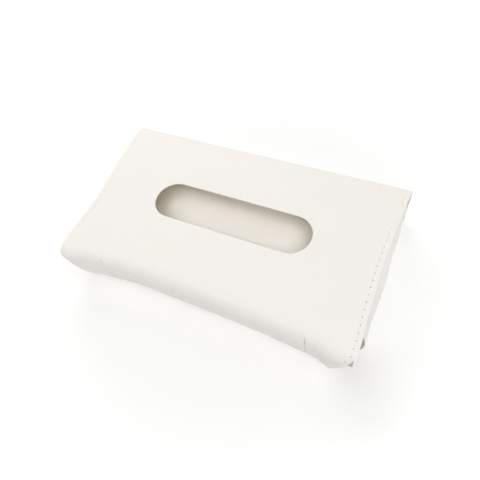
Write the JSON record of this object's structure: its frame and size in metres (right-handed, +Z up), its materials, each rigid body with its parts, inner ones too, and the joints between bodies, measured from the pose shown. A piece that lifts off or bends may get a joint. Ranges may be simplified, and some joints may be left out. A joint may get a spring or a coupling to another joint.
{
  "type": "leather tissue box",
  "caption": "Flat soft leather tissue case with a long round-ended slot in its top, gusseted ends and a magnetic closing flap over the front edge.",
  "frame": {"origin": "middle of the case's outline, on the surface that it stands on", "axes": "+X along the length, +Y to the back fold, away from the flap, +Z up"},
  "size_m": [0.2344, 0.1324, 0.0405],
  "materials": {
    "leather": "smooth ivory, fine grain, satin",
    "lining": "matt ivory microfibre",
    "thread": "ivory waxed thread",
    "board": "grey cardboard",
    "magnet": "nickel plated"
  },
  "bodies": {
    "case": {"top_leather": "leather", "back_leather": "leather", "bottom_leather": "leather", "front_wall_leather": "leather", "left_corner_leather": "leather", "right_corner_leather": "leather", "top_board": "board", "back_board": "board", "bottom_board": "board", "front_wall_board": "board", "top_lining": "lining", "back_lining": "lining", "bottom_lining": "lining", "front_wall_lining": "lining", "left_corner_lining": "lining", "right_corner_lining": "lining", "left_gusset": "leather", "right_gusset": "leather", "left_wall_magnet": "magnet", "right_wall_magnet": "magnet", "left_end_stitching": "thread", "right_end_stitching": "thread", "left_corner_stitching": "thread", "right_corner_stitching": "thread", "left_base_stitching": "thread", "right_base_stitching": "thread", "left_back_stitching": "thread", "right_back_stitching": "thread"},
    "closing_flap": {"flap_leather": "leather", "flap_board": "board", "flap_lining": "lining", "left_flap_magnet": "magnet", "right_flap_magnet": "magnet"}
  },
  "joints": [
    {"name": "flap_hinge", "type": "hinge", "parent": "case", "child": "closing_flap", "pos_m": [0, -0.05885, 0.03799], "axis": [-1, 0, 0], "range_deg": [0, 120]}
  ]
}
